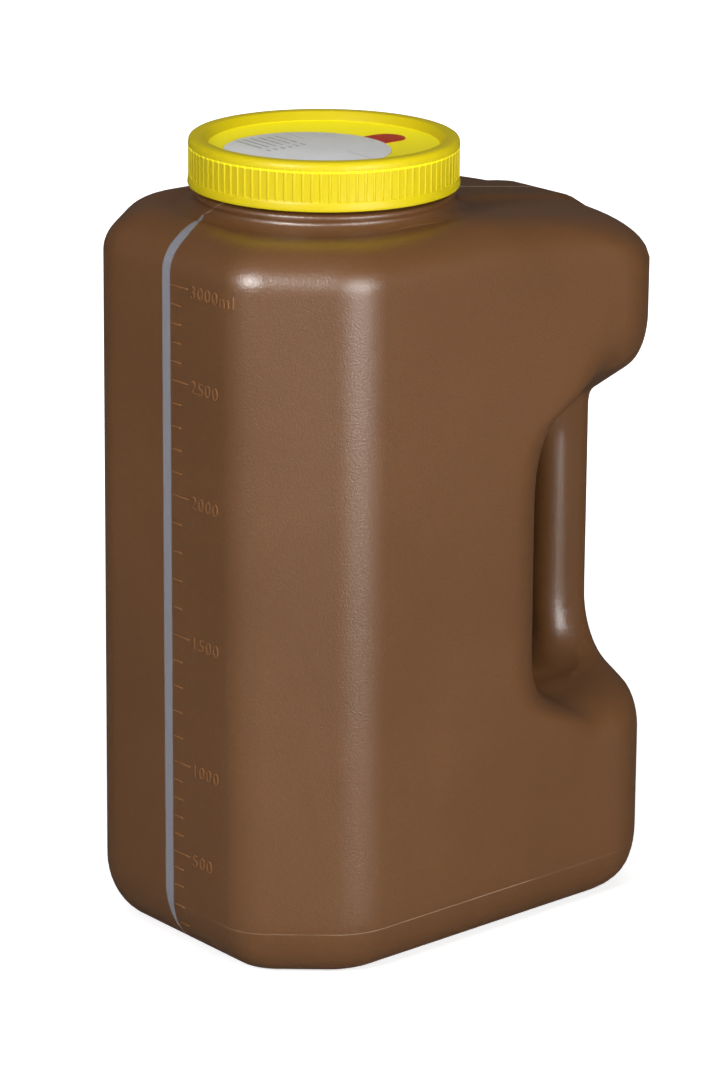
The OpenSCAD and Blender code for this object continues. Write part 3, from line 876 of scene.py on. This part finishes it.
class STAGE_OT_set(bpy.types.Operator):
    """Set the floor, the lights and the camera"""
    bl_idname = "bottle.set_stage"
    bl_label = "Set stage"

    def execute(self, context):
        scene = context.scene
        studio = scene.bottle_studio
        bpy.ops.object.select_all(action="DESELECT")
        bpy.ops.mesh.primitive_plane_add(size=14, location=(0, 0, 0))
        floor = context.object
        floor.name = "floor"
        floor.data.materials.append(studio_floor())
        self.softbox("key softbox", azimuth=83, elevation=9, size=(0.6, 1.0), power=studio.key_power)
        self.softbox("front softbox", azimuth=20, elevation=26, size=(0.28, 0.28),
                     power=studio.front_power)
        self.softbox("gloss softbox", azimuth=17, elevation=27, size=(0.28, 0.28),
                     power=studio.gloss_power, fills=False)
        self.softbox("top softbox", azimuth=20, elevation=75, size=(1.6, 1.6), power=studio.top_power,
                     shines=False)
        self.softbox("rear fill", azimuth=228, elevation=20, size=(1.6, 1.6), power=studio.fill_power,
                     shines=False)
        world = scene.world or bpy.data.worlds.new("studio")
        scene.world = world
        world.use_nodes = True
        tree = world.node_tree
        tree.nodes.clear()
        out = tree.nodes.new("ShaderNodeOutputWorld")
        ambient, backdrop, pick = (tree.nodes.new(kind) for kind in
                                   ("ShaderNodeBackground", "ShaderNodeBackground", "ShaderNodeMixShader"))
        path = tree.nodes.new("ShaderNodeLightPath")
        ambient.inputs["Color"].default_value = (1, 1, 1, 1)
        ambient.inputs["Strength"].default_value = studio.ambient
        backdrop.inputs["Color"].default_value = (1, 1, 1, 1)
        backdrop.inputs["Strength"].default_value = 1.0
        tree.links.new(path.outputs["Is Camera Ray"], pick.inputs[0])
        tree.links.new(ambient.outputs[0], pick.inputs[1])
        tree.links.new(backdrop.outputs[0], pick.inputs[2])
        tree.links.new(pick.outputs[0], out.inputs["Surface"])
        self.camera(scene)
        scene.view_settings.view_transform = "Standard"
        return {"FINISHED"}

    def softbox(self, name, azimuth, elevation, size, power, shines=True, fills=True):
        """Adds a soft lamp; one that doesn't shine leaves no reflection, one that doesn't fill only a reflection."""
        a, e = math.radians(azimuth), math.radians(elevation)
        way = Vector((math.sin(a) * math.cos(e), -math.cos(a) * math.cos(e), math.sin(e)))
        lamp = bpy.data.lights.new(name, "AREA")
        lamp.shape = "RECTANGLE"
        lamp.size, lamp.size_y = size
        lamp.energy = power
        holder = bpy.data.objects.new(name, lamp)
        bpy.context.collection.objects.link(holder)
        holder.location = Vector((0, 0, LAMP_AIM_Z)) + way * LAMP_DISTANCE
        holder.visible_glossy = shines
        holder.visible_diffuse = fills
        holder.rotation_euler = way.to_track_quat("Z", "Y").to_euler()

    def camera(self, scene):
        """Places the camera by its bearing, tilt and distance from a point on the bottle's axis."""
        azimuth, pitch, roll = (math.radians(v) for v in (VIEW_AZIMUTH, VIEW_PITCH, VIEW_ROLL))
        back = Vector((math.sin(azimuth) * math.cos(pitch), -math.cos(azimuth) * math.cos(pitch), math.sin(pitch)))
        right = Vector((math.cos(azimuth), math.sin(azimuth), 0))
        up = back.cross(right)
        target = Vector((0, 0, VIEW_HEIGHT)) + right * VIEW_ASIDE
        turned_right = right * math.cos(roll) + up * math.sin(roll)
        turned_up = up * math.cos(roll) - right * math.sin(roll)
        place = Matrix((turned_right, turned_up, back)).transposed().to_4x4()
        place.translation = target + back * VIEW_DISTANCE
        lens = bpy.data.cameras.new("camera")
        lens.sensor_fit = "VERTICAL"
        lens.sensor_height = 36
        lens.sensor_width = 36
        lens.lens = VIEW_LENS
        lens.clip_start = 0.05
        holder = bpy.data.objects.new("camera", lens)
        bpy.context.collection.objects.link(holder)
        holder.matrix_world = place
        scene.camera = holder


class BOTTLE_PT_panel(bpy.types.Panel):
    """Sizes and colours of the bottle, and its makers"""
    bl_idname = "BOTTLE_PT_panel"
    bl_label = "Collection bottle"
    bl_space_type = "VIEW_3D"
    bl_region_type = "UI"
    bl_category = "Bottle"

    def draw(self, context):
        for group in (context.scene.bottle_sizes, context.scene.bottle_look, context.scene.bottle_studio):
            for name in group.__annotations__:
                self.layout.prop(group, name)
        for maker in MAKERS:
            self.layout.operator(maker.bl_idname)


MAKERS = (BODY_OT_blow, BODY_OT_graduate, CAP_OT_mould, LABEL_OT_print, NEEDLE_OT_finish, STAGE_OT_set)
GROUPS = {"bottle_look": BottleLook, "bottle_sizes": BottleSizes, "bottle_studio": BottleStudio}


def register():
    for kind in (*GROUPS.values(), *MAKERS, BOTTLE_PT_panel):
        bpy.utils.register_class(kind)
    for name, kind in GROUPS.items():
        setattr(bpy.types.Scene, name, bpy.props.PointerProperty(type=kind))


def unregister():
    for name in GROUPS:
        delattr(bpy.types.Scene, name)
    for kind in reversed((*GROUPS.values(), *MAKERS, BOTTLE_PT_panel)):
        bpy.utils.unregister_class(kind)


def main():
    register()
    bpy.ops.bottle.blow_body()
    bpy.ops.bottle.graduate()
    bpy.ops.bottle.mould_cap()
    bpy.ops.bottle.lay_label()
    bpy.ops.bottle.finish_needle()
    bpy.ops.bottle.set_stage()


if __name__ == "__main__":
    main()
